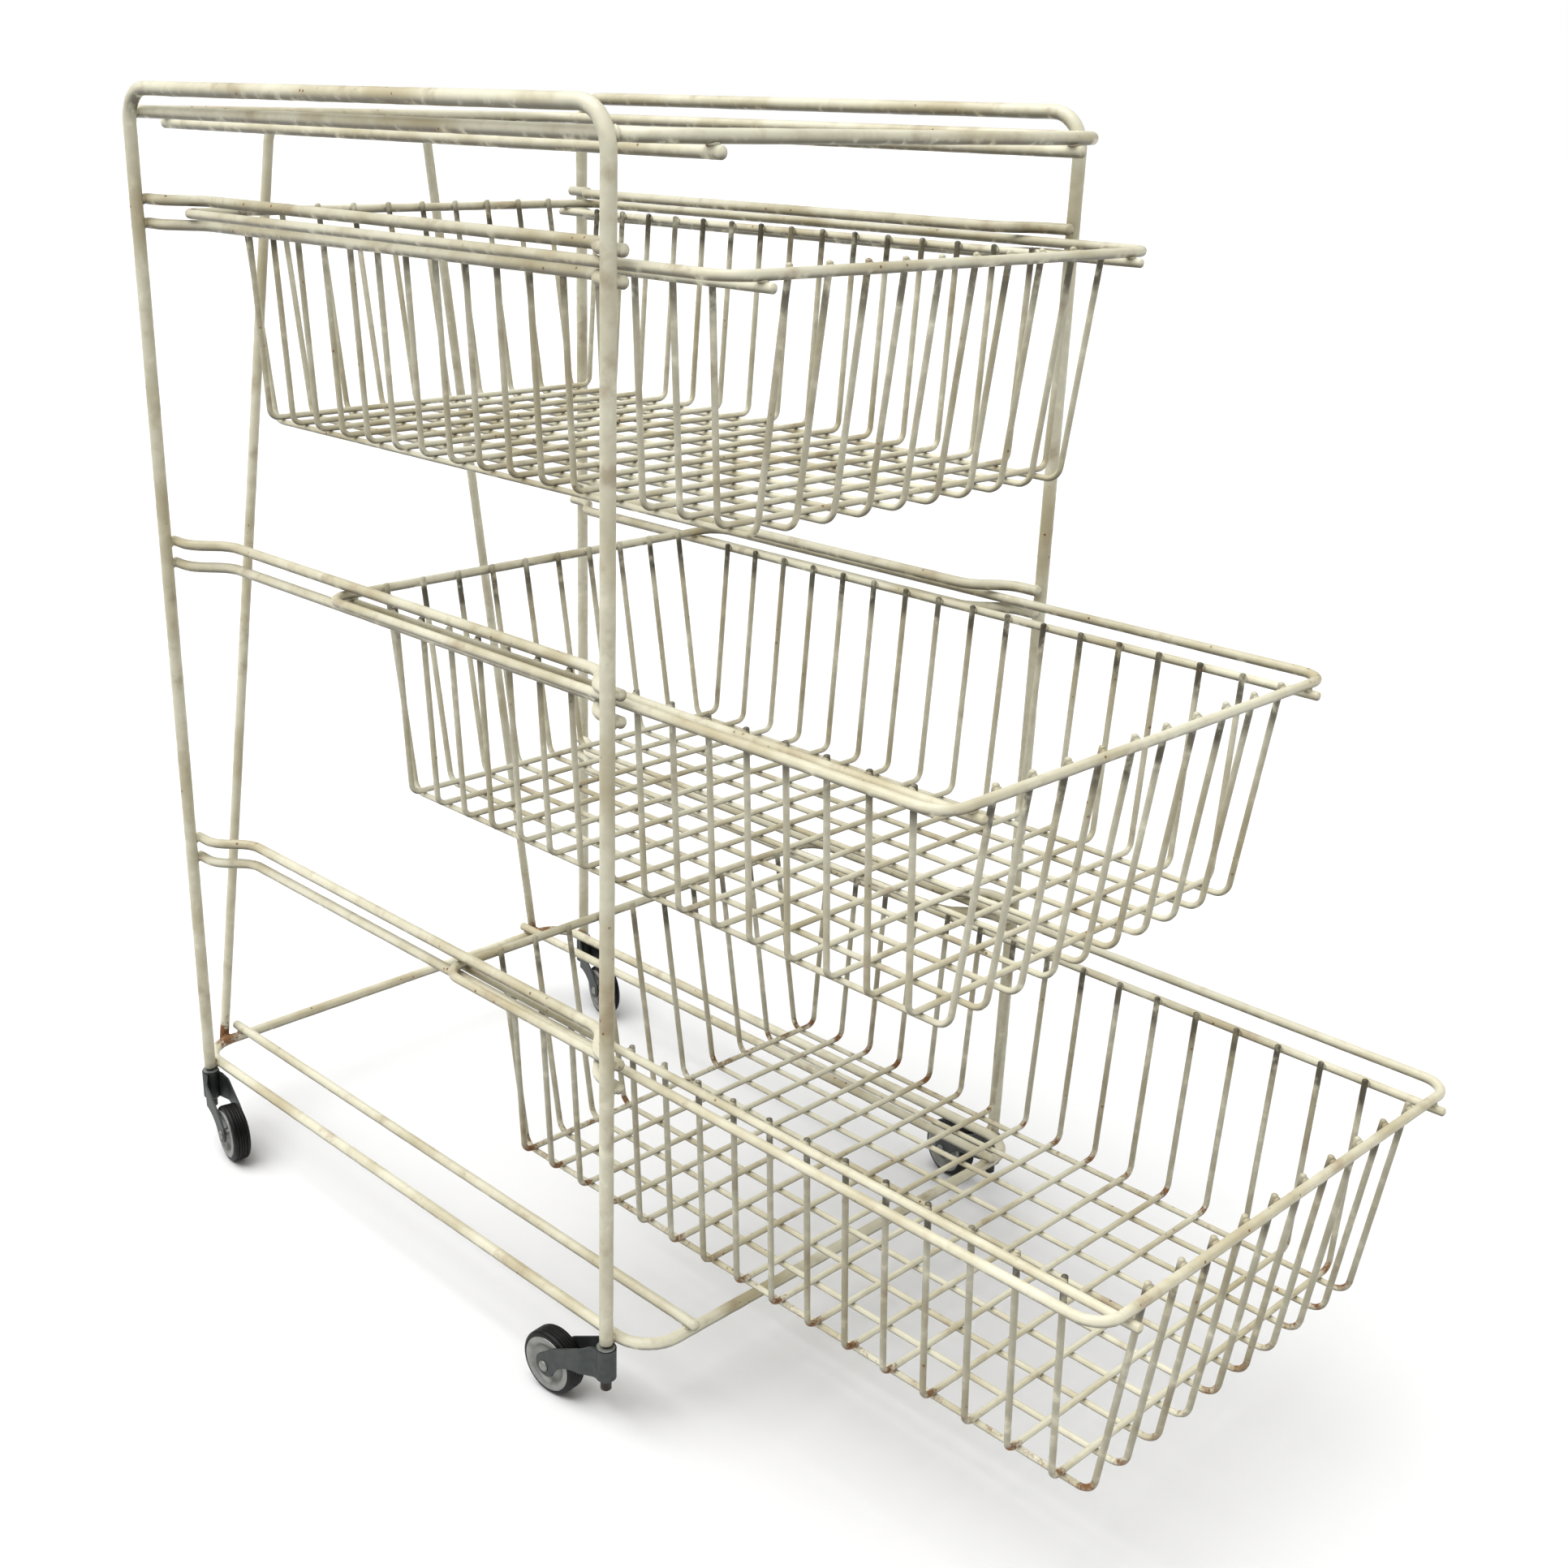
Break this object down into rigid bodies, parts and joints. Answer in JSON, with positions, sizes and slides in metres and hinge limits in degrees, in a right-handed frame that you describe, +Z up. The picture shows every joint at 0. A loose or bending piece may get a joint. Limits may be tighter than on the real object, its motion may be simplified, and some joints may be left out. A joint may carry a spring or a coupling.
{
  "type": "wire basket storage trolley",
  "caption": "Bent-rod storage trolley on swivel casters with pull-out wire baskets one above the other",
  "frame": {"origin": "middle of the bounding box at floor level", "axes": "+Z up; the baskets pull out towards -Y; +X to the right seen from the open front"},
  "size_m": [0.3858, 0.7816, 0.707],
  "materials": {
    "cream_paint": "old ivory enamel over steel rod, rusted through in spots",
    "zinc_steel": "dull dark zinc plate",
    "hub_steel": "worn pressed steel",
    "black_rubber": "matt black rubber"
  },
  "bodies": {
    "frame": {"arch_left": "cream_paint", "arch_right": "cream_paint", "rails_left": "cream_paint", "rails_right": "cream_paint", "top_loop": "cream_paint", "bottom_loop": "cream_paint", "top_rods": "cream_paint", "bottom_rods": "cream_paint", "back_brace": "cream_paint", "swivel_pins": "zinc_steel", "pin_caps": "zinc_steel", "pin_collars": "zinc_steel"},
    "basket_top": {"basket_top_rim": "cream_paint", "basket_top_side_rods": "cream_paint", "basket_top_cross_wires": "cream_paint", "basket_top_long_wires": "cream_paint"},
    "basket_middle": {"basket_middle_rim": "cream_paint", "basket_middle_side_rods": "cream_paint", "basket_middle_cross_wires": "cream_paint", "basket_middle_long_wires": "cream_paint"},
    "basket_bottom": {"basket_bottom_rim": "cream_paint", "basket_bottom_side_rods": "cream_paint", "basket_bottom_cross_wires": "cream_paint", "basket_bottom_long_wires": "cream_paint"},
    "caster_front_left_swivel": {"caster_front_left_fork": "zinc_steel", "caster_front_left_axle": "zinc_steel"},
    "caster_front_left_wheel": {"caster_front_left_hub": "hub_steel", "caster_front_left_tyre": "black_rubber"},
    "caster_front_right_swivel": {"caster_front_right_fork": "zinc_steel", "caster_front_right_axle": "zinc_steel"},
    "caster_front_right_wheel": {"caster_front_right_hub": "hub_steel", "caster_front_right_tyre": "black_rubber"},
    "caster_back_left_swivel": {"caster_back_left_fork": "zinc_steel", "caster_back_left_axle": "zinc_steel"},
    "caster_back_left_wheel": {"caster_back_left_hub": "hub_steel", "caster_back_left_tyre": "black_rubber"},
    "caster_back_right_swivel": {"caster_back_right_fork": "zinc_steel", "caster_back_right_axle": "zinc_steel"},
    "caster_back_right_wheel": {"caster_back_right_hub": "hub_steel", "caster_back_right_tyre": "black_rubber"}
  },
  "joints": [
    {"name": "basket_top_slide", "type": "slide", "parent": "frame", "child": "basket_top", "axis": [0, -1, 0], "range_m": [-0.0497, 0.3213]},
    {"name": "basket_middle_slide", "type": "slide", "parent": "frame", "child": "basket_middle", "axis": [0, -1, 0], "range_m": [-0.1867, 0.1843]},
    {"name": "basket_bottom_slide", "type": "slide", "parent": "frame", "child": "basket_bottom", "axis": [0, -1, 0], "range_m": [-0.2919, 0.0791]},
    {"name": "caster_front_left_swivel_turn", "type": "hinge", "parent": "frame", "child": "caster_front_left_swivel", "pos_m": [-0.1745, -0.0766, 0.0386], "axis": [0, 0, 1], "continuous": true},
    {"name": "caster_front_left_wheel_spin", "type": "hinge", "parent": "caster_front_left_swivel", "child": "caster_front_left_wheel", "pos_m": [-0.17816, -0.03476, 0.02], "axis": [-0.9962, -0.0872, 0], "continuous": true},
    {"name": "caster_front_right_swivel_turn", "type": "hinge", "parent": "frame", "child": "caster_front_right_swivel", "pos_m": [0.1745, -0.0766, 0.0386], "axis": [0, 0, 1], "continuous": true},
    {"name": "caster_front_right_wheel_spin", "type": "hinge", "parent": "caster_front_right_swivel", "child": "caster_front_right_wheel", "pos_m": [0.18251, -0.03537, 0.02], "axis": [-0.9816, 0.1908, 0], "continuous": true},
    {"name": "caster_back_left_swivel_turn", "type": "hinge", "parent": "frame", "child": "caster_back_left_swivel", "pos_m": [-0.1745, 0.3564, 0.0386], "axis": [0, 0, 1], "continuous": true},
    {"name": "caster_back_left_wheel_spin", "type": "hinge", "parent": "caster_back_left_swivel", "child": "caster_back_left_wheel", "pos_m": [-0.18251, 0.31517, 0.02], "axis": [0.9816, -0.1908, 0], "continuous": true},
    {"name": "caster_back_right_swivel_turn", "type": "hinge", "parent": "frame", "child": "caster_back_right_swivel", "pos_m": [0.1745, 0.3564, 0.0386], "axis": [0, 0, 1], "continuous": true},
    {"name": "caster_back_right_wheel_spin", "type": "hinge", "parent": "caster_back_right_swivel", "child": "caster_back_right_wheel", "pos_m": [0.16222, 0.31623, 0.02], "axis": [0.9563, -0.2924, 0], "continuous": true}
  ]
}
